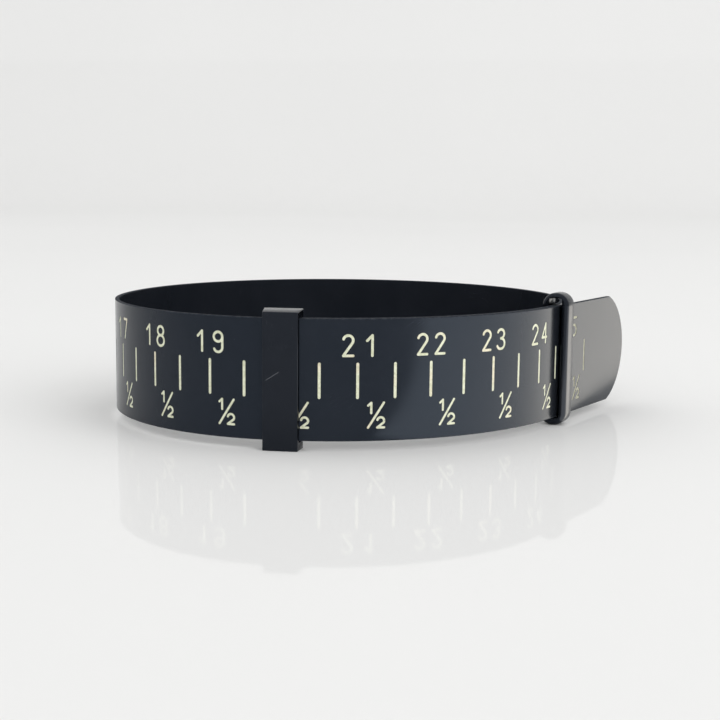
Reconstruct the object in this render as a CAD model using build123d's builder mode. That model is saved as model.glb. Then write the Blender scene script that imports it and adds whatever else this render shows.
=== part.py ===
"""Adjustable bracelet sizing band: an engraved plastic strip rolled into a loop and held by two keepers.

The strip starts inside the fixed keeper, goes once round the wrist opening, passes over its own start
through the fixed keeper and then through the loose keeper, and ends in a free rounded tail. Its scale
counts centimetres from the fixed keeper, so the figure under that keeper is the size round the wrist.

Millimetres, +Z up. The origin is on the surface that the band stands on, under the middle of the fixed
keeper, at the centre line of the strip's outer layer. +X runs along the scale there, and the scale
faces -Y.
"""

import os
from math import atan2, cos, degrees, radians, sin, sqrt

import numpy as np
from build123d import *

# ---- driving dimensions ---------------------------------------------------------------------

# the strip
strip_width = 16.25
strip_thickness = 0.6
strip_edge_round = 0.1
strip_lift = 1.3  # the strip's lower edge above the surface that the keepers stand on
layer_gap = 0.05  # between the two layers where they lie together
reading = 200.0  # size that the band is set to, read at the middle of the fixed keeper
tip_station = 269.8  # where the tail ends on the scale
tip_roundness = 1.06  # radius of the tail's rounded end, as a share of half the strip's width

# how the strip bends, from the fixed keeper round to itself; headings are in degrees from +X
overlap_roundness = 0.191  # radius of the outer layer's centre line, as a share of the reading
overlap_length = 43.2  # along the scale, from the fixed keeper; past it the tail runs straight
front_left_roundness = 0.1505  # radius, as a share of the reading
right_bend_end = 120.0
back_bend_end = 272.5
left_bend_end = 298.5

# the scale
scale_start_cm = 15
scale_end_cm = 25
millimetres_per_cm = 10.0
line_bottom = 5.65  # heights are from the strip's lower edge
line_top = 10.5
line_stroke = 0.42
numeral_bottom = 11.2
numeral_height = 3.05
numeral_label_width = 4.2
numeral_stroke = 0.38
half_sign_bottom = 1.65
half_sign_height = 3.65
half_sign_width = 2.5
half_sign_stroke = 0.34
small_figure_height = 1.7
engraving_depth = 0.16
paint_recess = 0.03  # paint surface below the strip's face
paint_clearance = 0.015  # between paint and pocket wall, so the solids stay apart

# the fixed keeper, bonded on the strip's zero end
fixed_keeper_width = 4.7  # at the front face
fixed_keeper_draft = 0.3  # the sides and the top slope out by this much towards the back
fixed_keeper_wall = 0.65
fixed_keeper_edge_clearance = 0.2  # above and below the strip
fixed_keeper_slide_clearance = 0.12  # in front of the outer layer
bond_line = 0.03  # cement between the inner layer and the keeper
fixed_keeper_bevel = 0.12

# the loose keeper
loose_keeper_width = 3.0
loose_keeper_wall = 1.0
loose_keeper_end_wall = 0.75  # above the slot
loose_keeper_distance = 47.1  # along the scale, from the fixed keeper to where it rests
loose_keeper_inner_clearance = 0.3  # behind the inner layer
loose_keeper_outer_clearance = 0.45  # in front of the outer layer
loose_keeper_top_clearance = 1.05  # above the strip
loose_keeper_bottom_clearance = 0.1  # below the strip
loose_keeper_corner_radius = 1.9
loose_keeper_slot_corner_radius = 0.2
loose_keeper_edge_round = 0.48
keeper_gap = 0.3  # left between the two keepers when they are slid together

# ---- values that follow ---------------------------------------------------------------------

half_thickness = strip_thickness / 2
half_width = strip_width / 2
tip_round_radius = tip_roundness * half_width
overlap_radius = overlap_roundness * reading
front_left_radius = front_left_roundness * reading
layer_pitch = strip_thickness + layer_gap
inner_overlap_radius = overlap_radius - layer_pitch
strip_bottom = strip_lift
strip_top = strip_lift + strip_width
overlap_centre = Vector(0, overlap_radius)
start_heading = -degrees(fixed_keeper_width / 2 / overlap_radius)
overlap_end_heading = degrees(overlap_length / overlap_radius)
full_turn = 360.0


def heading_vector(heading):
    """Unit vector along the strip at a heading."""
    return Vector(cos(radians(heading)), sin(radians(heading)))


def outward_vector(heading):
    """Unit vector out of the loop, square to the strip at a heading."""
    return Vector(sin(radians(heading)), -cos(radians(heading)))


def bend_shares(start, end):
    """What a bend adds per millimetre of its radius: along X, along Y and to the strip's length."""
    return np.array(
        [
            sin(radians(end)) - sin(radians(start)),
            cos(radians(start)) - cos(radians(end)),
            radians(end - start),
        ]
    )


# The strip comes back to the fixed keeper one layer further out, after exactly the length that is
# read there. Those are three conditions, and they settle the right, back and left radii.
returning_heading = full_turn + start_heading
known_shares = (
    inner_overlap_radius * bend_shares(0, overlap_end_heading)
    + front_left_radius * bend_shares(left_bend_end, returning_heading)
    + overlap_radius * bend_shares(start_heading, 0)
)
needed_shares = np.array([0, -layer_pitch, reading]) - known_shares
free_bends = np.column_stack(
    [
        bend_shares(overlap_end_heading, right_bend_end),
        bend_shares(right_bend_end, back_bend_end),
        bend_shares(back_bend_end, left_bend_end),
    ]
)
right_radius, back_radius, left_radius = (float(r) for r in np.linalg.solve(free_bends, needed_shares))

# (radius, turn in degrees) of each bend of the strip's centre line, from its inner end
bends = [
    (inner_overlap_radius, overlap_end_heading - start_heading),
    (right_radius, right_bend_end - overlap_end_heading),
    (back_radius, back_bend_end - right_bend_end),
    (left_radius, left_bend_end - back_bend_end),
    (front_left_radius, returning_heading - left_bend_end),
    (overlap_radius, overlap_end_heading - start_heading),
]
tail_length = tip_station - reading - overlap_length
zero_inset = inner_overlap_radius * radians(-start_heading)  # the strip's end before the scale's zero


def draw_strip_line(offset):
    """Draw the strip's plan line, moved outwards by offset, in the current BuildLine."""
    point = overlap_centre + outward_vector(start_heading) * (inner_overlap_radius + offset)
    direction = heading_vector(start_heading)
    first_point = point
    for radius, turn in bends:
        arc = JernArc(start=point, tangent=direction, radius=radius + offset, arc_size=turn)
        point = arc @ 1
        direction = arc % 1
    tail = Line(point, point + direction * tail_length)
    return first_point, tail @ 1


def draw_strip_section(inner_offset, outer_offset):
    """Draw the closed plan section between two offsets from the centre line."""
    with BuildLine() as outline:
        inner_start, inner_end = draw_strip_line(inner_offset)
        outer_start, outer_end = draw_strip_line(outer_offset)
        Line(inner_start, outer_start)
        Line(inner_end, outer_end)
    make_face(outline.edges())


with BuildLine() as centre_line:
    draw_strip_line(0)
strip_wire = centre_line.wires()[0]


def station_plane(station, height=0.0):
    """Plane on the strip's outer face: X along the scale, Y up, Z outwards, height above its lower edge."""
    distance = station + zero_inset
    point = strip_wire.position_at(distance, position_mode=PositionMode.LENGTH)
    along = strip_wire.tangent_at(distance, position_mode=PositionMode.LENGTH)
    outward = along.cross(Vector(0, 0, 1))
    origin = point + outward * half_thickness + Vector(0, 0, strip_bottom + height)
    return Plane(origin=origin, x_dir=along, z_dir=outward)


# ---- figures, as single pen strokes ---------------------------------------------------------


def figure_line(figure, left, base, width, height):
    """The pen's path for one figure, in a box from (left, base)."""

    def at(x, y):
        """A point of the box, as shares of its width and height."""
        return (left + x * width, base + y * height)

    radius = width / 2
    bowl = radius / height
    small_bowl = 0.23
    large_bowl = 0.27
    with BuildLine() as line:
        if figure == "0":
            Line(at(0, bowl), at(0, 1 - bowl))
            ThreePointArc(at(0, 1 - bowl), at(0.5, 1), at(1, 1 - bowl))
            Line(at(1, 1 - bowl), at(1, bowl))
            ThreePointArc(at(1, bowl), at(0.5, 0), at(0, bowl))
        elif figure == "1":
            Polyline(at(0, 0.74), at(1, 1), at(1, 0))
        elif figure == "2":
            top = CenterArc(at(0.5, 1 - bowl), radius, 165, -195)
            Polyline(top @ 1, at(0, 0), at(1, 0))
        elif figure == "3":
            CenterArc(at(0.5, 1 - small_bowl), small_bowl * height, 155, -245)
            CenterArc(at(0.5, large_bowl), large_bowl * height, 90, -245)
        elif figure == "4":
            Polyline(at(0.75, 0), at(0.75, 1), at(0, 0.28), at(1, 0.28))
        elif figure == "5":
            Polyline(at(1, 1), at(0.12, 1), at(0, 0.52))
            ThreePointArc(at(0, 0.52), at(1, 0.3), at(0, 0.08))
        elif figure == "6":
            CenterArc(at(0.5, bowl), radius, 0, full_turn)
            Line(at(0, bowl), at(0, 1 - bowl))
            ThreePointArc(at(0, 1 - bowl), at(0.45, 1), at(0.95, 1 - 0.6 * bowl))
        elif figure == "7":
            Polyline(at(0, 1), at(1, 1), at(0.3, 0))
        elif figure == "8":
            CenterArc(at(0.5, 1 - small_bowl), small_bowl * height, 0, full_turn)
            CenterArc(at(0.5, large_bowl), large_bowl * height, 0, full_turn)
        elif figure == "9":
            CenterArc(at(0.5, 1 - bowl), radius, 0, full_turn)
            Line(at(1, 1 - bowl), at(1, bowl))
            ThreePointArc(at(1, bowl), at(0.55, 0), at(0.05, 0.6 * bowl))
    return line.line


def draw_stroke(line, stroke):
    """Widen a pen path to a stroke with round ends, in the current BuildSketch."""
    for edge in line.edges():
        trace(lines=edge, line_width=stroke)
        with Locations(edge @ 0, edge @ 1):
            Circle(stroke / 2)


def figure_width(figure, height):
    """Width of a figure's pen path."""
    return height * (0.26 if figure == "1" else 0.48)


def draw_numeral(number, spread):
    """Two figures pushed to the ends of the label, their strokes spread wider by spread."""
    stroke = numeral_stroke
    height = numeral_height - stroke
    label = numeral_label_width - stroke
    figures = str(number)
    for place, figure in enumerate(figures):
        width = figure_width(figure, height)
        left = -label / 2 if place == 0 else label / 2 - width
        draw_stroke(figure_line(figure, left, stroke / 2, width, height), stroke + spread)


def draw_half_sign(spread):
    """A small 1, a slash and a small 2, their strokes spread wider by spread."""
    stroke = half_sign_stroke
    low = stroke / 2
    high = half_sign_height - stroke / 2
    side = (half_sign_width - stroke) / 2
    height = small_figure_height - stroke
    one_width = 0.3 * height
    two_width = 0.68 * height
    slash_lean = 0.06
    with BuildLine() as slash:
        Line((-side, low), (side - slash_lean, high))
    draw_stroke(figure_line("1", -side, high - height, one_width, height), stroke + spread)
    draw_stroke(slash.line, stroke + spread)
    draw_stroke(figure_line("2", side - two_width, low, two_width, height), stroke + spread)


def draw_graduation(spread):
    """One upright line of the scale, its stroke spread wider by spread."""
    stroke = line_stroke
    with BuildLine() as line:
        Line((0, stroke / 2), (0, line_top - line_bottom - stroke / 2))
    draw_stroke(line.line, stroke + spread)


cut_front = 0.1  # how far outside the strip's face a cut starts
cut_depth = cut_front + engraving_depth + 0.15  # behind the engraving, past the depth that the bend adds


def engraving_plane(station, height):
    """Plane just outside the strip's face that an engraved figure is drawn on and cut in from."""
    return station_plane(station, height).offset(cut_front)


# A numeral sits over its line, and a half sign sits below, midway from its centimetre line to the
# next half-centimetre line.
whole_numbers = range(scale_start_cm, scale_end_cm + 1)
half_step = millimetres_per_cm / 2
centimetre_planes = [engraving_plane(cm * millimetres_per_cm, line_bottom) for cm in whole_numbers]
half_centimetre_planes = [
    engraving_plane(cm * millimetres_per_cm + half_step, line_bottom) for cm in whole_numbers
]
numeral_planes = [engraving_plane(cm * millimetres_per_cm, numeral_bottom) for cm in whole_numbers]
half_sign_planes = [
    engraving_plane(cm * millimetres_per_cm + half_step / 2, half_sign_bottom) for cm in whole_numbers
]

# ---- layers of the strip's face that the paint and the pockets are cut from ---------------------

with BuildPart() as paint_layer:
    with BuildSketch(Plane.XY.offset(strip_bottom)):
        draw_strip_section(
            half_thickness - engraving_depth + paint_clearance, half_thickness - paint_recess
        )
    extrude(amount=strip_width)

with BuildPart() as pocket_layer:
    with BuildSketch(Plane.XY.offset(strip_bottom)):
        draw_strip_section(half_thickness - engraving_depth, half_thickness + cut_front / 2)
    extrude(amount=strip_width)

paint_spread = -2 * paint_clearance
os.makedirs("parts", exist_ok=True)

# ---- paint of the scale -----------------------------------------------------------------------


def save_part(builder, name):
    """Label a finished piece and write its STEP file."""
    builder.part.label = name
    export_step(builder.part, f"parts/{name}.step")


with BuildPart() as pockets:
    for plane in centimetre_planes + half_centimetre_planes:
        with BuildSketch(plane):
            draw_graduation(0)
        extrude(amount=-cut_depth)
    for number, numeral_plane, half_sign_plane in zip(whole_numbers, numeral_planes, half_sign_planes):
        with BuildSketch(numeral_plane):
            draw_numeral(number, 0)
        extrude(amount=-cut_depth)
        with BuildSketch(half_sign_plane):
            draw_half_sign(0)
        extrude(amount=-cut_depth)
    add(pocket_layer.part, mode=Mode.INTERSECT)

for line_set, planes in (
    ("centimetre_lines", centimetre_planes),
    ("half_centimetre_lines", half_centimetre_planes),
):
    with BuildPart() as lines_paint:
        for plane in planes:
            with BuildSketch(plane):
                draw_graduation(paint_spread)
            extrude(amount=-cut_depth)
        add(paint_layer.part, mode=Mode.INTERSECT)
    save_part(lines_paint, line_set)

for number, numeral_plane, half_sign_plane in zip(whole_numbers, numeral_planes, half_sign_planes):
    with BuildPart() as numeral_paint:
        with BuildSketch(numeral_plane):
            draw_numeral(number, paint_spread)
        extrude(amount=-cut_depth)
        add(paint_layer.part, mode=Mode.INTERSECT)
    save_part(numeral_paint, f"numeral_{number}")

    with BuildPart() as half_sign_paint:
        with BuildSketch(half_sign_plane):
            draw_half_sign(paint_spread)
        extrude(amount=-cut_depth)
        add(paint_layer.part, mode=Mode.INTERSECT)
    save_part(half_sign_paint, f"half_sign_{number}")

# ---- measuring strip ----------------------------------------------------------------------------

with BuildPart() as measuring_strip:
    with BuildSketch(Plane.XY.offset(strip_bottom)):
        draw_strip_section(-half_thickness, half_thickness)
    extrude(amount=strip_width)

    # the tail's rounded end, cut through the straight tail only
    tip_bulge = tip_round_radius - sqrt(tip_round_radius**2 - half_width**2)
    tip_waste_length = tip_bulge + 1
    tip_waste_reach = strip_thickness + 1
    with BuildSketch(station_plane(tip_station, half_width)):
        with Locations((-tip_bulge, 0)):
            Rectangle(tip_waste_length, strip_width + 2, align=(Align.MIN, Align.CENTER))
        with Locations((-tip_round_radius, 0)):
            Circle(tip_round_radius, mode=Mode.SUBTRACT)
    extrude(amount=tip_waste_reach, both=True, mode=Mode.SUBTRACT)

    rims = faces().filter_by(Axis.Z).edges()
    fillet(rims, radius=strip_edge_round)

    add(pockets.part, mode=Mode.SUBTRACT)
save_part(measuring_strip, "measuring_strip")

# ---- fixed keeper ---------------------------------------------------------------------------------

slot_back_radius = inner_overlap_radius - half_thickness - bond_line
slot_front_radius = overlap_radius + half_thickness + fixed_keeper_slide_clearance
keeper_front = overlap_radius - slot_front_radius - fixed_keeper_wall
keeper_back = overlap_radius - slot_back_radius + fixed_keeper_wall
keeper_slot_bottom = strip_bottom - fixed_keeper_edge_clearance
keeper_slot_top = strip_top + fixed_keeper_edge_clearance
fixed_keeper_top = keeper_slot_top + fixed_keeper_wall
fixed_keeper_back_top = fixed_keeper_top + fixed_keeper_draft
fixed_keeper_back_width = fixed_keeper_width + 2 * fixed_keeper_draft
keeper_depth = keeper_back - keeper_front
fixed_keeper_taper = degrees(atan2(fixed_keeper_draft, keeper_depth))

with BuildPart() as fixed_keeper:
    with BuildSketch(Plane.XZ.offset(-keeper_back)):
        Rectangle(fixed_keeper_back_width, 2 * fixed_keeper_back_top)
    extrude(amount=keeper_depth, taper=fixed_keeper_taper)
    # the underside stays flat to stand on
    split(bisect_by=Plane.XY, keep=Keep.TOP)
    chamfer(edges(), length=fixed_keeper_bevel)
    # the slot follows the bend of the two layers
    with BuildSketch(Plane.XY.offset(keeper_slot_bottom)):
        with Locations(overlap_centre):
            Circle(slot_front_radius)
            Circle(slot_back_radius, mode=Mode.SUBTRACT)
        with Locations((0, 0)):
            Rectangle(2 * fixed_keeper_width, 4 * layer_pitch, mode=Mode.INTERSECT)
    extrude(amount=keeper_slot_top - keeper_slot_bottom, mode=Mode.SUBTRACT)
save_part(fixed_keeper, "fixed_keeper")

# ---- loose keeper ---------------------------------------------------------------------------------

loose_heading = degrees(loose_keeper_distance / overlap_radius)
loose_slot_back = overlap_radius - layer_pitch - half_thickness - loose_keeper_inner_clearance
loose_slot_front = overlap_radius + half_thickness + loose_keeper_outer_clearance
loose_slot_depth = loose_slot_front - loose_slot_back
loose_slot_bottom = strip_bottom - loose_keeper_bottom_clearance
loose_slot_top = strip_top + loose_keeper_top_clearance
loose_slot_height = loose_slot_top - loose_slot_bottom
loose_depth = loose_slot_depth + 2 * loose_keeper_wall
loose_height = loose_slot_top + loose_keeper_end_wall
loose_middle_radius = (loose_slot_back + loose_slot_front) / 2
loose_outward = outward_vector(loose_heading)
loose_along = heading_vector(loose_heading)
loose_middle = overlap_centre + loose_outward * loose_middle_radius + Vector(0, 0, loose_height / 2)
loose_plane = Plane(origin=loose_middle, x_dir=loose_outward, z_dir=loose_along * -1)

with BuildPart() as loose_keeper:
    with BuildSketch(loose_plane):
        RectangleRounded(loose_depth, loose_height, radius=loose_keeper_corner_radius)
        with Locations((0, (loose_slot_bottom + loose_slot_top - loose_height) / 2)):
            RectangleRounded(
                loose_slot_depth,
                loose_slot_height,
                radius=loose_keeper_slot_corner_radius,
                mode=Mode.SUBTRACT,
            )
    extrude(amount=loose_keeper_width / 2, both=True)
    side_faces = faces().sort_by(Axis(loose_middle, loose_along))
    for side in (side_faces[0], side_faces[-1]):
        fillet(side.outer_wire().edges(), radius=loose_keeper_edge_round)
save_part(loose_keeper, "loose_keeper")

# how far the loose keeper turns about the overlap's centre before it meets the fixed keeper
loose_inner_radius = loose_slot_back - loose_keeper_wall
meeting_offset = fixed_keeper_back_width / 2 + loose_keeper_width / 2 + keeper_gap
meeting_heading = degrees(meeting_offset / loose_inner_radius)
print(f"right, back and left radii {right_radius:.2f} {back_radius:.2f} {left_radius:.2f}")
print(f"strip length {strip_wire.length:.1f}, tail {tail_length:.1f}")
print(f"loose keeper heading {loose_heading:.2f}, travel {meeting_heading - loose_heading:.2f} degrees")
print(f"loose keeper top {loose_height:.2f}, fixed keeper top {fixed_keeper_back_top:.2f}")
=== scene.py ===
"""Looks of an adjustable bracelet sizing band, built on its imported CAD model.

The band is one long black strip, engraved with a centimetre scale whose cuts are filled with cream paint. It is
rolled into a loop and held by a square fixed keeper and a rounded loose keeper. The strip and both keepers are
built here as smooth meshes on the frame's own sizes; the paint keeps its CAD shapes and gets its finish here.
"""

import logging
import math
from dataclasses import dataclass, field
from enum import Enum

import bmesh
import bpy
import numpy as np
from mathutils import Matrix, Vector


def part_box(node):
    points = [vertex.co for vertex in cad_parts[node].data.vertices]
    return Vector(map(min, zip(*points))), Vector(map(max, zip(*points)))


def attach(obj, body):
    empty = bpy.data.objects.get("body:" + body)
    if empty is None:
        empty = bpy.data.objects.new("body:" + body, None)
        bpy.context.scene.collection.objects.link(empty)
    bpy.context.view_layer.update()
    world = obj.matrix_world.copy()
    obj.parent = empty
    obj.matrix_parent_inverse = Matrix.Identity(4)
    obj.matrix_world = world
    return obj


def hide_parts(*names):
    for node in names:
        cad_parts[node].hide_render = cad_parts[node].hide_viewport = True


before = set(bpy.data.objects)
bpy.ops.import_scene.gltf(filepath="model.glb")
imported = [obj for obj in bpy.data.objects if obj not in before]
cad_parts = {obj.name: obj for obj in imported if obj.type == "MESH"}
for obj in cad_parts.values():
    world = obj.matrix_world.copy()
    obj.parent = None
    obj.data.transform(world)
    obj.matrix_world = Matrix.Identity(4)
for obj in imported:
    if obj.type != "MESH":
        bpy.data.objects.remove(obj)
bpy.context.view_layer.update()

log = logging.getLogger("sizing_band")

MM = 0.001  # metres in a millimetre; meshes are shaped in millimetres and scaled at the end


class Body(str, Enum):
    """The bodies that pieces ride on."""

    BAND = "band"
    LOOSE_KEEPER = "loose_keeper"


class Slot(str, Enum):
    """The record's material slot names for the pieces made here; nothing in this script uses them."""

    STRIP = "strip_plastic"
    KEEPER = "keeper_plastic"


# ---- shader building ----------------------------------------------------------------------------


class Value:
    """A number that varies over a surface, with the arithmetic that shader expressions use."""

    def __init__(self, shader: "Shader", socket: bpy.types.NodeSocket) -> None:
        """Wrap one output socket.

        Args:
            shader: The material that the socket belongs to.
            socket: The output socket.
        """
        self.shader = shader
        self.socket = socket

    def _math(self, operation: str, *operands: "Value | float") -> "Value":
        """Add a Math node.

        Args:
            operation: The Math node's operation.
            operands: Its inputs in order.

        Returns:
            The node's result.
        """
        inputs = dict(enumerate(operands))
        node = self.shader.node("ShaderNodeMath", {"operation": operation}, inputs)
        return Value(self.shader, node.outputs[0])

    def __add__(self, other: "Value | float") -> "Value":
        """Sum."""
        return self._math("ADD", self, other)

    __radd__ = __add__

    def __mul__(self, other: "Value | float") -> "Value":
        """Product."""
        return self._math("MULTIPLY", self, other)

    __rmul__ = __mul__

    def __sub__(self, other: "Value | float") -> "Value":
        """Difference."""
        return self._math("SUBTRACT", self, other)

    def __rsub__(self, other: float) -> "Value":
        """Difference from a number."""
        return self._math("SUBTRACT", other, self)

    def __truediv__(self, other: "Value | float") -> "Value":
        """Quotient."""
        return self._math("DIVIDE", self, other)

    def __abs__(self) -> "Value":
        """Size without sign."""
        return self._math("ABSOLUTE", self)

    def smallest(self, other: "Value | float") -> "Value":
        """The smaller of two values."""
        return self._math("MINIMUM", self, other)

    def largest(self, other: "Value | float") -> "Value":
        """The larger of two values."""
        return self._math("MAXIMUM", self, other)

    def step(self, low: float, high: float) -> "Value":
        """Rise smoothly from 0 at low to 1 at high, or fall where low is the larger.

        Args:
            low: Where the result is 0.
            high: Where the result is 1.

        Returns:
            The eased value, from 0 to 1.
        """
        start, end = (0.0, 1.0) if low < high else (1.0, 0.0)
        inputs = {"Value": self, "From Min": min(low, high), "From Max": max(low, high)}
        inputs |= {"To Min": start, "To Max": end}
        node = self.shader.node("ShaderNodeMapRange", {"interpolation_type": "SMOOTHSTEP"}, inputs)
        return Value(self.shader, node.outputs["Result"])


class Shader:
    """One material's node tree, around a Principled shader."""

    def __init__(self, name: str) -> None:
        """Start a material.

        Args:
            name: The material's name.
        """
        self.material = bpy.data.materials.new(name)
        self.material.use_nodes = True
        self.tree = self.material.node_tree
        self.tree.nodes.clear()
        self.surface = self.node("ShaderNodeBsdfPrincipled", {}, {})
        output = self.node("ShaderNodeOutputMaterial", {}, {})
        self.tree.links.new(self.surface.outputs["BSDF"], output.inputs["Surface"])

    def node(self, kind: str, settings: dict, inputs: dict) -> bpy.types.Node:
        """Add a node, apply its settings, then fill its sockets.

        Args:
            kind: The node's type.
            settings: Its properties by name. The stops of a ramp come as "stops".
            inputs: Values or links by socket name or number.

        Returns:
            The new node.
        """
        node = self.tree.nodes.new(kind)
        for key, setting in settings.items():
            if key == "stops":
                self._set_stops(node.color_ramp, setting)
            else:
                setattr(node, key, setting)
        for key, given in inputs.items():
            if isinstance(given, Value):
                self.tree.links.new(given.socket, node.inputs[key])
            elif isinstance(given, bpy.types.NodeSocket):
                self.tree.links.new(given, node.inputs[key])
            else:
                node.inputs[key].default_value = given
        return node

    @staticmethod
    def _set_stops(ramp: bpy.types.ColorRamp, stops: list) -> None:
        """Give a ramp its stops.

        Args:
            ramp: The colour ramp.
            stops: Pairs of position and colour.
        """
        while len(ramp.elements) < len(stops):
            ramp.elements.new(0.5)
        for element, (position, colour) in zip(ramp.elements, stops):
            element.position = position
            element.color = (*colour, 1.0)

    def object_place(self, scale: float = 1.0 / MM) -> bpy.types.NodeSocket:
        """Object coordinates, in millimetres unless another scale is asked for."""
        place = self.node("ShaderNodeTexCoord", {}, {}).outputs["Object"]
        return self.scaled(place, (scale, scale, scale))

    def uv_place(self, layer: str, scale: tuple[float, float, float]) -> bpy.types.NodeSocket:
        """A UV map's coordinates, scaled."""
        return self.scaled(self.node("ShaderNodeUVMap", {"uv_map": layer}, {}).outputs["UV"], scale)

    def scaled(self, vector: bpy.types.NodeSocket, scale: tuple[float, float, float]) -> bpy.types.NodeSocket:
        """A vector times another, part by part."""
        node = self.node("ShaderNodeVectorMath", {"operation": "MULTIPLY"}, {0: vector, 1: scale})
        return node.outputs["Vector"]

    def turned(self, vector: bpy.types.NodeSocket, degrees: float) -> bpy.types.NodeSocket:
        """Turn a vector about Z.

        Args:
            vector: The vector to turn.
            degrees: How far it is turned.

        Returns:
            The turned vector's socket.
        """
        turn = (0.0, 0.0, math.radians(degrees))
        node = self.node("ShaderNodeMapping", {"vector_type": "POINT"}, {"Vector": vector, "Rotation": turn})
        return node.outputs["Vector"]

    def parts(self, vector: bpy.types.NodeSocket) -> tuple[Value, Value, Value]:
        """A vector's three parts."""
        node = self.node("ShaderNodeSeparateXYZ", {}, {"Vector": vector})
        return tuple(Value(self, socket) for socket in node.outputs)

    def noise(self, vector: bpy.types.NodeSocket, scale: float, detail: float = 2.0, rough: float = 0.5) -> Value:
        """Noise from 0 to 1, at a scale in turns per unit of the vector."""
        inputs = {"Vector": vector, "Scale": scale, "Detail": detail, "Roughness": rough}
        return Value(self, self.node("ShaderNodeTexNoise", {}, inputs).outputs[0])

    def dots(self, vector: bpy.types.NodeSocket, scale: float) -> Value:
        """Distance from the nearest of a scatter of points, in cells."""
        inputs = {"Vector": vector, "Scale": scale}
        return Value(self, self.node("ShaderNodeTexVoronoi", {}, inputs).outputs["Distance"])

    def mix(
        self, factor: Value, first: "tuple | bpy.types.NodeSocket", second: "tuple | bpy.types.NodeSocket"
    ) -> bpy.types.NodeSocket:
        """Colour that goes from first to second as factor goes from 0 to 1.

        Args:
            factor: The share of the second colour.
            first: A colour or a link.
            second: A colour or a link.

        Returns:
            The mixed colour's socket.
        """
        colours = [(*c, 1.0) if isinstance(c, tuple) else c for c in (first, second)]
        inputs = {0: factor, 6: colours[0], 7: colours[1]}
        return self.node("ShaderNodeMix", {"data_type": "RGBA"}, inputs).outputs[2]

    def bump(self, height: Value, strength: float, depth_mm: float) -> None:
        """Feed the shader's normal from a height field.

        Args:
            height: The height, from 0 to 1.
            strength: Share of the effect.
            depth_mm: Height of a full step, in millimetres.
        """
        inputs = {"Height": height, "Strength": strength, "Distance": depth_mm * MM}
        node = self.node("ShaderNodeBump", {}, inputs)
        self.tree.links.new(node.outputs["Normal"], self.surface.inputs["Normal"])

    def finish(self, colour: bpy.types.NodeSocket, rough: Value, constants: dict) -> bpy.types.Material:
        """Join the colour and roughness to the shader and set its constants.

        Args:
            colour: The base colour.
            rough: The roughness.
            constants: Plain values by the shader's socket name.

        Returns:
            The finished material.
        """
        self.tree.links.new(colour, self.surface.inputs["Base Color"])
        self.tree.links.new(rough.socket, self.surface.inputs["Roughness"])
        for key, value in constants.items():
            self.surface.inputs[key].default_value = value
        return self.material


@dataclass(frozen=True)
class StripPlastic:
    """Blue-black satin plastic of the strip: faint lines along it, handling scuffs and a painted highlight along its
    rims, in patches.
    """

    colour: tuple = (0.0092, 0.0110, 0.0146)
    cloud_colour: tuple = (0.0112, 0.0128, 0.0166)
    scuff_colour: tuple = (0.036, 0.039, 0.048)
    # painted rim highlight: the lighter colour laid along the strip's top and bottom rims
    rim_highlight_colour: tuple = (0.045, 0.048, 0.056)
    roughness: float = 0.18
    ior: float = 1.355
    gloss_tint: tuple = (0.58, 0.74, 1.0, 1.0)
    uv_layer: str = "along_strip"

    def make(self, strip_width: float) -> bpy.types.Material:
        """Build the material.

        Args:
            strip_width: The strip's width in millimetres.

        Returns:
            The material, patterned on the strip's UV map of station and height.
        """
        shader = Shader("strip_plastic")
        place = shader.uv_place(self.uv_layer, (1 / MM, 1 / MM, 1.0))
        _, height, _ = shader.parts(place)
        cloud = shader.noise(place, 0.11, 3.0, 0.55)
        drawn = shader.noise(shader.scaled(place, (0.05, 5.0, 1.0)), 1.0, 3.0, 0.6)
        fine = shader.noise(place, 3.0, 4.0, 0.6)
        scratches = self._scratches(shader, place)
        specks = shader.dots(place, 0.55).step(0.055, 0.03) * shader.noise(place, 0.4).step(0.55, 0.62)
        from_edge = height.smallest(strip_width - height)
        # painted rim highlight: within 0.22 mm of the top and bottom edges, broken into patches by noise
        rim = from_edge.step(0.22, 0.02) * shader.noise(place, 1.3, 4.0, 0.7).step(0.42, 0.62)
        colour = shader.mix(cloud.step(0.35, 0.7), self.colour, self.cloud_colour)
        colour = shader.mix((scratches * 0.16 + specks * 0.5).smallest(1.0), colour, self.scuff_colour)
        colour = shader.mix(rim * 0.55, colour, self.rim_highlight_colour)
        rough = self.roughness + (cloud - 0.5) * 0.10 + (drawn - 0.5) * 0.05 + scratches * 0.08
        rough = rough + from_edge.step(0.12, 0.03) * 0.6
        shader.bump(drawn * 0.4 + fine * 0.4, 0.3, 0.006)
        return shader.finish(colour, rough.largest(0.08), {"IOR": self.ior, "Specular Tint": self.gloss_tint})

    def _scratches(self, shader: Shader, place: bpy.types.NodeSocket) -> Value:
        """Fine hairline marks in a few directions, where wandering patches let them show.

        Args:
            shader: The material.
            place: Coordinates in millimetres.

        Returns:
            The scratches' mask, from 0 to 1.
        """
        marks = None
        for degrees, across, patch in ((8.0, 2.6, 0.09), (-31.0, 2.0, 0.13), (74.0, 2.2, 0.17)):
            turned = shader.turned(place, degrees)
            line = abs(shader.noise(shader.scaled(turned, (0.10, across, 1.0)), 1.0, 2.0, 0.6) - 0.5)
            patches = shader.noise(turned, patch, 2.0, 0.5).step(0.56, 0.70)
            mark = line.step(0.010, 0.003) * patches
            marks = mark if marks is None else marks.largest(mark)
        return marks


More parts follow.
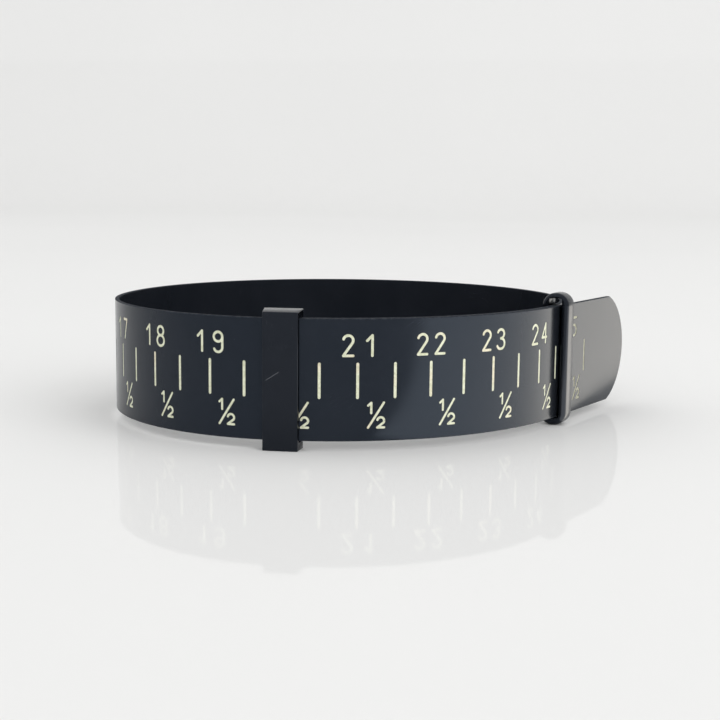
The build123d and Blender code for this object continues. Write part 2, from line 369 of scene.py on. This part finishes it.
@dataclass(frozen=True)
class KeeperPlastic:
    """Polished black moulded plastic of the keepers, with fine hairlines."""

    name: str
    colour: tuple = (0.0009, 0.0012, 0.0022)
    cloud_colour: tuple = (0.0018, 0.0022, 0.0034)
    scuff_colour: tuple = (0.085, 0.087, 0.095)
    roughness: float = 0.14
    ior: float = 1.42
    gloss_tint: tuple = (0.70, 0.80, 1.0, 1.0)
    scratch_ends: tuple | None = None  # one long scratch on the front face, (x, z) to (x, z) in millimetres

    def make(self) -> bpy.types.Material:
        """Build the material.

        Returns:
            The material, patterned on Object coordinates.
        """
        shader = Shader(self.name)
        place = shader.object_place()
        cloud = shader.noise(place, 0.5, 3.0, 0.55)
        fine = shader.noise(place, 5.0, 4.0, 0.6)
        marks = None
        for degrees, across in ((63.0, 3.4), (-20.0, 2.8)):
            turned = shader.turned(place, degrees)
            line = abs(shader.noise(shader.scaled(turned, (0.2, across, 0.2)), 1.0, 2.0, 0.6) - 0.5)
            mark = line.step(0.010, 0.003) * shader.noise(turned, 0.35, 2.0, 0.5).step(0.58, 0.72) * 0.18
            marks = mark if marks is None else marks.largest(mark)
        if self.scratch_ends:
            marks = marks.largest(self._long_scratch(shader, place))
        specks = shader.dots(place, 0.9).step(0.06, 0.03) * shader.noise(place, 0.6).step(0.56, 0.64)
        colour = shader.mix(cloud.step(0.35, 0.7), self.colour, self.cloud_colour)
        colour = shader.mix((marks + specks * 0.25).smallest(1.0), colour, self.scuff_colour)
        rough = self.roughness + (cloud - 0.5) * 0.10 + marks * 0.2
        shader.bump(fine * 0.5 + cloud * 0.5 - marks * 0.6, 0.3, 0.006)
        return shader.finish(colour, rough.largest(0.05), {"IOR": self.ior, "Specular Tint": self.gloss_tint})

    def _long_scratch(self, shader: Shader, place: bpy.types.NodeSocket) -> Value:
        """The one scratch across the front face.

        Args:
            shader: The material.
            place: Coordinates in millimetres.

        Returns:
            The scratch's mask, from 0 to 1.
        """
        (x0, z0), (x1, z1) = self.scratch_ends
        length = math.hypot(x1 - x0, z1 - z0)
        ux, uz = (x1 - x0) / length, (z1 - z0) / length
        x, y, z = shader.parts(place)
        along = (x - x0) * ux + (z - z0) * uz
        across = abs((x - x0) * -uz + (z - z0) * ux + (shader.noise(place, 1.2) - 0.5) * 0.08)
        inside = along.step(0.0, 0.25) * along.step(length, length - 0.25)
        return across.step(0.07, 0.01) * inside * y.step(-0.5, -0.7)


@dataclass(frozen=True)
class CreamPaint:
    """Cream paint wiped into the engraving, a little uneven, with small chips down to the plastic."""

    name: str
    colour: tuple = (0.78, 0.80, 0.62)
    warm_colour: tuple = (0.84, 0.77, 0.60)
    dull_colour: tuple = (0.42, 0.44, 0.24)
    worn_colour: tuple = (0.26, 0.26, 0.17)
    chip_colour: tuple = (0.03, 0.03, 0.03)
    roughness: float = 0.42
    worn_from: float = 36.0  # along X: out on the free tail, which fingers pull, the paint has worn thin
    worn_to: float = 38.5

    def make(self) -> bpy.types.Material:
        """Build the material.

        Returns:
            The material, patterned on Object coordinates.
        """
        shader = Shader(self.name)
        place = shader.object_place()
        cloud = shader.noise(place, 0.22, 2.0, 0.5)
        mottle = shader.noise(place, 2.2, 4.0, 0.65)
        worn = shader.parts(place)[0].step(self.worn_from, self.worn_to)
        chips = (shader.noise(place, 3.6, 3.0, 0.6) + worn * 0.05).step(0.70, 0.76)
        colour = shader.mix(cloud.step(0.50, 0.68), self.colour, self.warm_colour)
        colour = shader.mix(mottle.step(0.60, 0.38) * 0.40, colour, self.dull_colour)
        colour = shader.mix(worn * (mottle.step(0.30, 0.65) * 0.35 + 0.6), colour, self.worn_colour)
        colour = shader.mix(chips, colour, self.chip_colour)
        rough = self.roughness + (mottle - 0.5) * 0.25
        shader.bump(mottle * 0.7 - chips * 0.8, 0.5, 0.02)
        return shader.finish(colour, rough, {"IOR": 1.45})


# ---- the strip's plan line ------------------------------------------------------------------------


def heading_vector(heading: float) -> Vector:
    """Unit vector along the strip at a heading in radians from +X."""
    return Vector((math.cos(heading), math.sin(heading), 0.0))


def outward_vector(heading: float) -> Vector:
    """Unit vector out of the loop, square to the strip at a heading."""
    return Vector((math.sin(heading), -math.cos(heading), 0.0))


@dataclass(frozen=True)
class Bend:
    """One arc of the strip's centre line, in millimetres and radians."""

    centre: Vector
    radius: float
    heading: float
    turn: float
    station: float


@dataclass
class StripPlan:
    """The strip's centre line: out of the fixed keeper, once round, and out along the tail."""

    thickness: float = 0.6
    layer_gap: float = 0.05
    reading: float = 200.0
    tip_station: float = 269.8
    overlap_radius: float = 38.2
    overlap_length: float = 43.2
    front_left_radius: float = 30.1
    right_bend_end: float = 120.0
    back_bend_end: float = 272.5
    left_bend_end: float = 298.5
    fixed_keeper_width: float = 4.7
    bends: list[Bend] = field(default_factory=list)

    def __post_init__(self) -> None:
        """Work out the arcs, with the three free radii that close the loop at the reading."""
        pitch = self.thickness + self.layer_gap
        inner_radius = self.overlap_radius - pitch
        first = -self.fixed_keeper_width / 2 / self.overlap_radius
        second = self.overlap_length / self.overlap_radius
        right, back, left = (math.radians(a) for a in (self.right_bend_end, self.back_bend_end, self.left_bend_end))
        again = 2 * math.pi + first
        known = (
            inner_radius * self._shares(0.0, second)
            + self.front_left_radius * self._shares(left, again)
            + self.overlap_radius * self._shares(first, 0.0)
        )
        free = np.column_stack([self._shares(second, right), self._shares(right, back), self._shares(back, left)])
        needed = np.array([0.0, -pitch, self.reading]) - known
        right_radius, back_radius, left_radius = (float(r) for r in np.linalg.solve(free, needed))
        runs = (
            (inner_radius, second - first),
            (right_radius, right - second),
            (back_radius, back - right),
            (left_radius, left - back),
            (self.front_left_radius, again - left),
            (self.overlap_radius, second - first),
        )
        heading = first
        point = Vector((0.0, self.overlap_radius, 0.0)) + outward_vector(heading) * inner_radius
        station = inner_radius * first
        for radius, turn in runs:
            centre = point - outward_vector(heading) * radius
            self.bends.append(Bend(centre, radius, heading, turn, station))
            heading += turn
            station += radius * turn
            point = centre + outward_vector(heading) * radius
        self.tail_start, self.tail_heading, self.tail_station = point, heading, station
        self.tail_length = self.tip_station - self.reading - self.overlap_length

    @staticmethod
    def _shares(start: float, end: float) -> np.ndarray:
        """What a bend adds per millimetre of its radius: along X, along Y and to the length."""
        return np.array([math.sin(end) - math.sin(start), math.cos(start) - math.cos(end), end - start])

    def locate(self, points: np.ndarray) -> np.ndarray:
        """Find where points lie on the strip.

        Args:
            points: Rows of x, y, z in millimetres.

        Returns:
            Rows of station, offset outwards from the centre line, and heading.
        """
        found = np.full((len(points), 3), np.nan)
        slack = self.thickness / 2 + 0.12
        error = np.full(len(points), np.inf)
        for bend in self.bends:
            delta = points[:, :2] - np.array(bend.centre.xy)
            offset = np.hypot(delta[:, 0], delta[:, 1]) - bend.radius
            along = (np.arctan2(delta[:, 0], -delta[:, 1]) - bend.heading + 0.01) % (2 * math.pi) - 0.01
            past = np.maximum(along - bend.turn, -along) * bend.radius
            miss = np.maximum(np.abs(offset) - self.thickness / 2, 0) + np.maximum(past, 0)
            better = (miss < error) & (np.abs(offset) < slack) & (past < 0.2)
            error[better] = miss[better]
            place = np.column_stack([bend.station + bend.radius * along, offset, bend.heading + along])
            found[better] = place[better]
        delta = points[:, :2] - np.array(self.tail_start.xy)
        along = delta @ np.array(heading_vector(self.tail_heading).xy)
        offset = delta @ np.array(outward_vector(self.tail_heading).xy)
        better = (along > 0) & (np.abs(offset) < slack) & (np.abs(offset) - self.thickness / 2 < error)
        place = np.column_stack([self.tail_station + along, offset, np.full(len(points), self.tail_heading)])
        found[better] = place[better]
        return found


# ---- mesh helpers ---------------------------------------------------------------------------------


def bevel(bm: bmesh.types.BMesh, geom: list, size: float, segments: int, affect: str = "EDGES") -> dict:
    """Round edges or corners.

    Args:
        bm: The mesh.
        geom: The edges or vertices.
        size: The rounding's size in the mesh's units.
        segments: Steps round it.
        affect: "EDGES" or "VERTICES".

    Returns:
        What the operator returns.
    """
    return bmesh.ops.bevel(
        bm, geom=geom, offset=size, offset_type="OFFSET", segments=segments, profile=0.5, affect=affect,
        clamp_overlap=True, material=-1,
    )


def upright_face(bm: bmesh.types.BMesh, matrix: Matrix, rows: int = 1) -> list:
    """Add a unit square of one column, placed by a matrix.

    Args:
        bm: The mesh.
        matrix: Takes the square, centred in its own XY plane, to its place.
        rows: How many faces it is divided into along its Y.

    Returns:
        Its vertices.
    """
    made = bmesh.ops.create_grid(bm, x_segments=1, y_segments=rows, size=0.5, matrix=Matrix.Identity(4))
    bmesh.ops.transform(bm, matrix=matrix, verts=made["verts"])
    return made["verts"]


def basis(right: Vector, up: Vector, out: Vector, origin: Vector) -> Matrix:
    """Build a matrix from its columns.

    Args:
        right: Where the X axis goes.
        up: Where the Y axis goes.
        out: Where the Z axis goes.
        origin: Where the origin goes.

    Returns:
        The matrix.
    """
    matrix = Matrix((right, up, out)).transposed().to_4x4()
    matrix.translation = origin
    return matrix


def make_piece(bm: bmesh.types.BMesh, name: str, sharp_degrees: float = 35.0) -> bpy.types.Object:
    """Turn a mesh in millimetres into a shown piece in metres, smooth but for its sharp edges.

    Args:
        bm: The mesh, which is freed.
        name: The piece's name.
        sharp_degrees: Edges that turn by more than this stay sharp.

    Returns:
        The new object, at the origin.
    """
    bmesh.ops.scale(bm, vec=(MM, MM, MM), verts=bm.verts)
    mesh = bpy.data.meshes.new(name)
    bm.to_mesh(mesh)
    bm.free()
    mesh.shade_smooth()
    mesh.set_sharp_from_angle(angle=math.radians(sharp_degrees))
    piece = bpy.data.objects.new(name, mesh)
    bpy.context.scene.collection.objects.link(piece)
    return piece


# ---- the measuring strip --------------------------------------------------------------------------


@dataclass
class MeasuringStrip:
    """The engraved strip and the paint in its engraving."""

    plan: StripPlan
    edge_round: float = 0.1
    tip_round_radius: float = 8.61
    tip_run: float = 7.0
    tip_bevel: float = 0.035
    step: float = 0.5
    rows: int = 24
    cutter_growth: float = 0.018
    corner_share: float = 1.3  # a corner moves further than the faces beside it
    cutter_lift: float = 0.12
    finish: StripPlastic = StripPlastic()
    paint_nodes: list[str] = field(default_factory=list)

    def __post_init__(self) -> None:
        """Read the strip's height from the frame and list the nodes that are paint."""
        low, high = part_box("measuring_strip")
        self.bottom, self.top = low.z / MM, high.z / MM
        self.width = self.top - self.bottom
        paint_words = ("numeral_", "half_sign_", "centimetre_lines", "half_centimetre_lines")
        self.paint_nodes = sorted(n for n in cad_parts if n.startswith(paint_words))

    def build(self) -> bpy.types.Object:
        """Make the strip, cut its engraving and dress it.

        Returns:
            The finished piece.
        """
        blank = self._blank()
        cutters = self._cutters()
        cut = self._engrave(blank, cutters)
        self._write_surface(cut)
        cut.data.materials.append(self.finish.make(self.width))
        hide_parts("measuring_strip")
        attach(cut, Body.BAND.value)
        return cut

    def _blank(self) -> bpy.types.Object:
        """Sweep the strip's rounded section along its plan line, without the engraving.

        Returns:
            The blank, in millimetres.
        """
        bm = bmesh.new()
        first = self.plan.bends[0]
        out = outward_vector(first.heading)
        start = first.centre + out * first.radius + Vector((0, 0, (self.bottom + self.top) / 2))
        section = basis(out * self.plan.thickness, Vector((0, 0, self.width)), heading_vector(first.heading), start)
        corners = [v for v in upright_face(bm, section, self.rows) if len(v.link_faces) == 1]
        bevel(bm, corners, self.edge_round, 3, "VERTICES")
        last = bm.verts[:] + bm.edges[:] + bm.faces[:]
        for bend in self.plan.bends:
            steps = max(2, round(bend.radius * bend.turn / self.step))
            last = bmesh.ops.spin(
                bm, geom=last, cent=bend.centre, axis=(0, 0, 1), dvec=(0, 0, 0), angle=bend.turn, steps=steps,
                use_merge=False, use_normal_flip=False, use_duplicate=False,
            )["geom_last"]
        along = heading_vector(self.plan.tail_heading)
        for run in self._tail_runs():
            last = bmesh.ops.extrude_face_region(bm, geom=last)["geom"]
            bmesh.ops.translate(bm, vec=along * run, verts=[v for v in last if isinstance(v, bmesh.types.BMVert)])
        middle = (self.bottom + self.top) / 2
        for vert in (v for v in last if isinstance(v, bmesh.types.BMVert)):
            rise = vert.co.z - middle
            vert.co -= along * (self.tip_round_radius - math.sqrt(self.tip_round_radius**2 - rise**2))
        cap = set(f for f in last if isinstance(f, bmesh.types.BMFace))
        rim = [e for e in bm.edges if sum(f in cap for f in e.link_faces) == 1]
        bevel(bm, rim, self.tip_bevel, 2)
        bmesh.ops.recalc_face_normals(bm, faces=bm.faces)
        mesh = bpy.data.meshes.new("strip_blank")
        bm.to_mesh(mesh)
        bm.free()
        blank = bpy.data.objects.new("strip_blank", mesh)
        bpy.context.scene.collection.objects.link(blank)
        return blank

    def _tail_runs(self) -> list[float]:
        """Divide the tail into straight runs.

        Returns:
            The runs' lengths, the last of them holding the rounded end.
        """
        even = self.plan.tail_length - self.tip_run
        count = round(even)
        return [even / count] * count + [self.tip_run]

    def _cutters(self) -> bpy.types.Object:
        """Merge copies of the paint's shapes, grown to the size of their cuts and lifted out of the strip.

        Returns:
            The cutters as one object, in millimetres.
        """
        bm = bmesh.new()
        for name in self.paint_nodes:
            bm.from_mesh(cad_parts[name].data)
        bmesh.ops.scale(bm, vec=(1 / MM,) * 3, verts=bm.verts)
        bmesh.ops.remove_doubles(bm, verts=bm.verts, dist=0.0005)
        bmesh.ops.recalc_face_normals(bm, faces=bm.faces)
        bm.normal_update()
        places = self.plan.locate(np.array([v.co for v in bm.verts]))
        moves = [v.normal * self.cutter_growth * self.corner_share for v in bm.verts]
        for vert, move, (_, offset, heading) in zip(bm.verts, moves, places):
            vert.co += move
            if offset > self.plan.thickness / 2 - 0.08:
                vert.co += outward_vector(heading) * self.cutter_lift
        mesh = bpy.data.meshes.new("engraving_cutters")
        bm.to_mesh(mesh)
        bm.free()
        cutters = bpy.data.objects.new("engraving_cutters", mesh)
        bpy.context.scene.collection.objects.link(cutters)
        return cutters

    def _engrave(self, blank: bpy.types.Object, cutters: bpy.types.Object) -> bpy.types.Object:
        """Cut the engraving into the blank.

        Args:
            blank: The plain strip.
            cutters: The shapes to take out of it.

        Returns:
            The engraved strip as a new piece in metres.
        """
        cut = blank.modifiers.new("engraving", "BOOLEAN")
        cut.operation = "DIFFERENCE"
        cut.solver = "EXACT"
        cut.use_self = True
        cut.object = cutters
        graph = bpy.context.evaluated_depsgraph_get()
        engraved = bpy.data.meshes.new_from_object(blank.evaluated_get(graph))
        bm = bmesh.new()
        bm.from_mesh(engraved)
        for used in (blank, cutters):
            bpy.data.objects.remove(used)
        log.info("engraved strip: %d faces", len(bm.faces))
        return make_piece(bm, "strip", 30.0)

    def _write_surface(self, piece: bpy.types.Object) -> None:
        """Write the UV map of station and height, and true normals where the strip's long faces are.

        Args:
            piece: The engraved strip, in metres.
        """
        mesh = piece.data
        places = self.plan.locate(np.array([v.co for v in mesh.vertices]) / MM)
        uv = mesh.uv_layers.new(name=self.finish.uv_layer)
        half = self.plan.thickness / 2
        normals = [Vector((0, 0, 0))] * len(mesh.loops)
        for face in mesh.polygons:
            for index in face.loop_indices:
                vertex = mesh.loops[index].vertex_index
                station, offset, heading = places[vertex]
                uv.data[index].uv = (station * MM, mesh.vertices[vertex].co.z - self.bottom * MM)
                out = outward_vector(heading)
                if abs(abs(offset) - half) < 0.004 and abs(face.normal.dot(out)) > 0.9:
                    normals[index] = out if offset > 0 else -out
        mesh.normals_split_custom_set(normals)

    def dress_paint(self) -> None:
        """Give every paint node its finish."""
        paint = CreamPaint("cream_paint").make()
        for name in self.paint_nodes:
            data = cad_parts[name].data
            data.materials.clear()
            data.materials.append(paint)


# ---- the keepers ----------------------------------------------------------------------------------


@dataclass
class FixedKeeper:
    """The square keeper on the strip's zero end, its sides and top sloping in towards the front."""

    wall: float = 0.65
    front_width: float = 4.7
    draft: float = 0.3
    edge_clearance: float = 0.2
    bevel_size: float = 0.12
    mouth_bevel: float = 0.06
    bend_radius: float = 38.2
    finish: KeeperPlastic = KeeperPlastic("fixed_keeper_plastic", scratch_ends=((-2.0, 9.35), (-0.03, 10.6)))

    def build(self) -> bpy.types.Object:
        """Make and dress the keeper.

        Returns:
            The finished piece.
        """
        low, high = (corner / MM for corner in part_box("fixed_keeper"))
        strip_low, strip_high = (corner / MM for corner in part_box("measuring_strip"))
        slot_low = Vector((low.x, low.y + self.wall, strip_low.z - self.edge_clearance))
        slot_high = Vector((high.x, high.y - self.wall, strip_high.z + self.edge_clearance))
        bm = bmesh.new()
        for near, far in ((low, high), (slot_low, slot_high)):
            size, middle = far - near, (far + near) / 2
            origin = Vector((low.x, middle.y, middle.z))
            upright_face(bm, basis(Vector((0, size.y, 0)), Vector((0, 0, size.z)), Vector((1, 0, 0)), origin))
        bmesh.ops.delete(bm, geom=bm.faces[:], context="FACES_ONLY")
        bmesh.ops.bridge_loops(bm, edges=bm.edges[:])
        length = high.x - low.x
        pushed = bmesh.ops.extrude_face_region(bm, geom=bm.faces[:])["geom"]
        bmesh.ops.translate(bm, vec=(length, 0, 0), verts=[v for v in pushed if isinstance(v, bmesh.types.BMVert)])
        bmesh.ops.recalc_face_normals(bm, faces=bm.faces)
        outer = [e for e in bm.edges if all(self._margin(v.co, low, high) < 0.01 for v in e.verts)]
        bevel(bm, outer, self.bevel_size, 3)
        mouth = [
            e for e in bm.edges
            if all(self._on_slot(v.co, slot_low, slot_high) for v in e.verts)
            and abs(e.verts[0].co.x - e.verts[1].co.x) < 0.01
        ]
        bevel(bm, mouth, self.mouth_bevel, 2)
        lengthwise = [e for e in bm.edges if abs(e.verts[0].co.x - e.verts[1].co.x) > length * 0.8]
        bmesh.ops.subdivide_edges(bm, edges=lengthwise, cuts=8, use_grid_fill=True)
        for vert in bm.verts:
            self._shape(vert, low, high, slot_low, slot_high)
        piece = make_piece(bm, "keeper_fixed")
        piece.data.materials.append(self.finish.make())
        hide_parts("fixed_keeper")
        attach(piece, Body.BAND.value)
        return piece

    def _shape(
        self, vert: bmesh.types.BMVert, low: Vector, high: Vector, slot_low: Vector, slot_high: Vector
    ) -> None:
        """Slope a vertex of the outside in towards the front, or bend one of the slot with the strip.

        Args:
            vert: The vertex.
            low: Lowest corner of the keeper's box.
            high: Highest corner of the keeper's box.
            slot_low: Lowest corner of the slot's box.
            slot_high: Highest corner of the slot's box.
        """
        point = vert.co.copy()
        from_back = (high.y - point.y) / (high.y - low.y)
        vert.co.x *= 1 + (self.front_width / (high.x - low.x) - 1) * from_back
        if point.z > slot_high.z + 0.3:
            vert.co.z -= self.draft * from_back
        if self._in_slot(point, slot_low, slot_high, self.mouth_bevel * 1.5):
            vert.co.y += point.x**2 / (2 * self.bend_radius)

    @staticmethod
    def _margin(point: Vector, low: Vector, high: Vector) -> float:
        """How far a point lies inside a box's nearest long side."""
        return min(point.y - low.y, high.y - point.y, point.z - low.z, high.z - point.z)

    @classmethod
    def _on_slot(cls, point: Vector, low: Vector, high: Vector) -> bool:
        """Whether a point lies on the slot's wall."""
        return abs(cls._margin(point, low, high)) < 0.01 and cls._in_slot(point, low, high)

    @staticmethod
    def _in_slot(point: Vector, low: Vector, high: Vector, slack: float = 0.01) -> bool:
        """Whether a point lies on the slot's wall or inside it."""
        return low.y - slack < point.y < high.y + slack and low.z - slack < point.z < high.z + slack


@dataclass
class LooseKeeper:
    """The rounded keeper that slides along the overlap."""

    plan: StripPlan
    width: float = 3.0
    wall: float = 1.0
    end_wall: float = 0.75
    bottom_clearance: float = 0.1
    distance: float = 47.1
    inner_clearance: float = 0.3
    outer_clearance: float = 0.45
    corner_radius: float = 1.9
    slot_corner_radius: float = 0.2
    edge_round: float = 0.48
    mouth_round: float = 0.1
    finish: KeeperPlastic = KeeperPlastic("loose_keeper_plastic", roughness=0.20)

    def build(self) -> bpy.types.Object:
        """Make and dress the keeper.

        Returns:
            The finished piece.
        """
        low, high = (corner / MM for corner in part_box("loose_keeper"))
        height = high.z - low.z
        slot_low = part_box("measuring_strip")[0].z / MM - self.bottom_clearance
        slot_height = high.z - self.end_wall - slot_low
        pitch, half = self.plan.thickness + self.plan.layer_gap, self.plan.thickness / 2
        back = self.plan.overlap_radius - pitch - half - self.inner_clearance
        front = self.plan.overlap_radius + half + self.outer_clearance
        heading = self.distance / self.plan.overlap_radius
        out, along = outward_vector(heading), heading_vector(heading)
        centre = Vector((0, self.plan.overlap_radius, (low.z + high.z) / 2))
        side = centre + out * (back + front) / 2 - along * self.width / 2
        bm = bmesh.new()
        depth = front - back + 2 * self.wall
        outline = upright_face(bm, basis(out * depth, Vector((0, 0, height)), along, side))
        bevel(bm, outline, self.corner_radius, 12, "VERTICES")
        slot_side = side.copy()
        slot_side.z = slot_low + slot_height / 2
        slot = upright_face(bm, basis(out * (front - back), Vector((0, 0, slot_height)), along, slot_side))
        bevel(bm, slot, self.slot_corner_radius, 12, "VERTICES")
        bmesh.ops.delete(bm, geom=bm.faces[:], context="FACES_ONLY")
        bmesh.ops.bridge_loops(bm, edges=bm.edges[:])
        pushed = bmesh.ops.extrude_face_region(bm, geom=bm.faces[:])["geom"]
        moved = [v for v in pushed if isinstance(v, bmesh.types.BMVert)]
        bmesh.ops.translate(bm, vec=along * self.width, verts=moved)
        bmesh.ops.recalc_face_normals(bm, faces=bm.faces)
        rims, mouths = self._rims(bm, slot_side, out, along, (front - back, slot_height))
        bevel(bm, rims, self.edge_round, 6)
        mouths = [e for e in mouths if e.is_valid]
        bevel(bm, mouths, self.mouth_round, 2)
        piece = make_piece(bm, "keeper_loose")
        piece.data.materials.append(self.finish.make())
        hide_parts("loose_keeper")
        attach(piece, Body.LOOSE_KEEPER.value)
        return piece

    @staticmethod
    def _rims(bm: bmesh.types.BMesh, side: Vector, out: Vector, along: Vector, slot_size: tuple) -> tuple[list, list]:
        """Sort the two end outlines' edges into the outer rims and the slot's mouths.

        Args:
            bm: The mesh.
            side: Middle of the slot's first end.
            out: Unit vector out of the loop.
            along: Unit vector along the strip.
            slot_size: Depth and height of the slot.

        Returns:
            The outer rims' edges and the mouths' edges.
        """
        rims, mouths = [], []
        for edge in bm.edges:
            ends = [(v.co - side).dot(along) for v in edge.verts]
            if abs(ends[0] - ends[1]) > 0.01:
                continue
            in_slot = [
                abs((v.co - side).dot(out)) < slot_size[0] / 2 + 0.01
                and abs(v.co.z - side.z) < slot_size[1] / 2 + 0.01
                for v in edge.verts
            ]
            if all(in_slot):
                mouths.append(edge)
            elif not any(in_slot):
                rims.append(edge)
        return rims, mouths


# ---- the studio -----------------------------------------------------------------------------------


@dataclass
class Studio:
    """Pale glossy table that curves up into a backdrop, soft lights and the camera."""

    table_colour: tuple = (0.88, 0.88, 0.876)
    table_gloss: float = 0.10
    table_reach: float = 12.0  # to the sides and the front, in metres
    table_depth: float = 0.9  # to where it starts to bend up
    table_bend: float = 0.5
    wall_height: float = 1.5  # above the bend
    world_strength: float = 0.905
    overhead_place: tuple = (0.05, 0.0, 0.9)
    overhead_size: float = 1.1
    overhead_power: float = 0.5
    window_place: tuple = (0.95, -0.55, 0.5)
    window_size: float = 0.9
    window_power: float = 4.0
    pool_place: tuple = (0.295, 0.0389)
    pool_height: float = 0.0004
    pool_size: float = 0.4
    pool_power: float = 1.1
    pool_colour: tuple = (1.0, 0.93, 0.82)
    pool_turn: float = 36.0
    camera_place: tuple = (34.43, -170.78, 37.29)
    yaw: float = 8.015
    pitch: float = 8.244
    roll: float = 0.575
    lens: float = 67.18

    def build(self) -> None:
        """Make the table, the light and the camera."""
        self._table()
        self._world()
        self._lights()
        self._camera()

    def _table(self) -> bpy.types.Object:
        """A table top that bends up into a wall behind.

        Returns:
            The table.
        """
        bm = bmesh.new()
        first = bm.verts.new((-self.table_reach, -self.table_reach, 0.0))
        second = bm.verts.new((self.table_reach, -self.table_reach, 0.0))
        front = bm.edges.new((first, second))
        flat = bmesh.ops.extrude_edge_only(bm, edges=[front])["geom"]
        run = (0, self.table_reach + self.table_depth, 0)
        bmesh.ops.translate(bm, vec=run, verts=[v for v in flat if isinstance(v, bmesh.types.BMVert)])
        edge = [e for e in flat if isinstance(e, bmesh.types.BMEdge)]
        bent = bmesh.ops.spin(
            bm, geom=edge + list(edge[0].verts), cent=(0, self.table_depth, self.table_bend), axis=(1, 0, 0),
            dvec=(0, 0, 0), angle=math.pi / 2, steps=24, use_merge=False, use_normal_flip=False,
            use_duplicate=False,
        )["geom_last"]
        edge = [e for e in bent if isinstance(e, bmesh.types.BMEdge)]
        wall = bmesh.ops.extrude_edge_only(bm, edges=edge)["geom"]
        rise = (0, 0, self.wall_height)
        bmesh.ops.translate(bm, vec=rise, verts=[v for v in wall if isinstance(v, bmesh.types.BMVert)])
        bmesh.ops.recalc_face_normals(bm, faces=bm.faces)
        mesh = bpy.data.meshes.new("table")
        bm.to_mesh(mesh)
        bm.free()
        mesh.shade_smooth()
        table = bpy.data.objects.new("table", mesh)
        bpy.context.scene.collection.objects.link(table)
        mesh.materials.append(self._table_finish())
        return table

    def _table_finish(self) -> bpy.types.Material:
        """Pale paint under a thin gloss, with the faintest unevenness.

        Returns:
            The material.
        """
        shader = Shader("table_gloss")
        place = shader.object_place(1.0)
        cloud = shader.noise(place, 3.0, 2.0, 0.5)
        shade = tuple(c * 0.985 for c in self.table_colour)
        colour = shader.mix(cloud.step(0.3, 0.7), self.table_colour, shade)
        diffuse = shader.node("ShaderNodeBsdfDiffuse", {}, {"Color": colour})
        gloss = shader.node("ShaderNodeBsdfGlossy", {}, {"Roughness": 0.045, "Color": (1.0, 1.0, 1.0, 1.0)})
        inputs = {0: self.table_gloss, 1: diffuse.outputs[0], 2: gloss.outputs[0]}
        mixed = shader.node("ShaderNodeMixShader", {}, inputs)
        output = next(n for n in shader.tree.nodes if n.type == "OUTPUT_MATERIAL")
        shader.tree.nodes.remove(shader.surface)
        shader.tree.links.new(mixed.outputs[0], output.inputs["Surface"])
        return shader.material

    def _world(self) -> None:
        """An even pale surround."""
        world = bpy.data.worlds.new("surround")
        world.use_nodes = True
        background = world.node_tree.nodes["Background"]
        background.inputs["Color"].default_value = (1.0, 1.0, 0.995, 1.0)
        background.inputs["Strength"].default_value = self.world_strength
        bpy.context.scene.world = world

    def _light(
        self, name: str, place: tuple, aim: tuple, size: float, power: float, turn: float = 0.0
    ) -> bpy.types.Object:
        """Add one square soft light.

        Args:
            name: Its name.
            place: Where it stands, in metres.
            aim: The point that it faces.
            size: Its side.
            power: Its power in watts.
            turn: Degrees that it is turned about its own axis.

        Returns:
            The light.
        """
        data = bpy.data.lights.new(name, "AREA")
        data.shape = "SQUARE"
        data.size = size
        data.energy = power
        light = bpy.data.objects.new(name, data)
        towards = (Vector(aim) - Vector(place)).to_track_quat("-Z", "Y").to_matrix().to_4x4()
        light.matrix_world = Matrix.Translation(place) @ towards @ Matrix.Rotation(math.radians(turn), 4, "Z")
        light.visible_camera = False
        bpy.context.scene.collection.objects.link(light)
        return light

    def _lights(self) -> None:
        """Overhead softbox, a window that the gloss doesn't show, and its pool, which only the gloss shows."""
        self._light("overhead", self.overhead_place, (0.0, 0.02, 0.0), self.overhead_size, self.overhead_power)
        window = self._light("window", self.window_place, (0.0, 0.03, 0.0), self.window_size, self.window_power)
        window.visible_glossy = False
        x, y = self.pool_place
        place, aim = (x, y, self.pool_height), (x, y, 1.0)
        pool = self._light("window_pool", place, aim, self.pool_size, self.pool_power, self.pool_turn)
        pool.visible_diffuse = False
        pool.data.color = self.pool_colour

    def _camera(self) -> None:
        """The camera at the object's front, looking slightly down."""
        data = bpy.data.cameras.new("camera")
        data.lens = self.lens
        data.sensor_width = 36.0
        data.clip_start, data.clip_end = 0.01, 20.0
        camera = bpy.data.objects.new("camera", data)
        yaw, pitch, roll = (math.radians(a) for a in (self.yaw, self.pitch, self.roll))
        tilt = Matrix.Rotation(math.pi / 2 - pitch, 4, "X")
        turn = Matrix.Rotation(yaw, 4, "Z") @ tilt @ Matrix.Rotation(roll, 4, "Z")
        camera.matrix_world = Matrix.Translation(Vector(self.camera_place) * MM) @ turn
        bpy.context.scene.collection.objects.link(camera)
        bpy.context.scene.camera = camera
        bpy.context.scene.view_settings.view_transform = "Standard"


def main() -> None:
    """Build every piece, then the studio."""
    logging.basicConfig(level=logging.INFO, format="%(name)s: %(message)s")
    plan = StripPlan()
    strip = MeasuringStrip(plan)
    for piece in (strip.build(), FixedKeeper().build(), LooseKeeper(plan).build()):
        log.info("%s: %d faces", piece.name, len(piece.data.polygons))
    strip.dress_paint()
    log.info("paint on %d nodes", len(strip.paint_nodes))
    Studio().build()


if __name__ == "__main__":
    main()
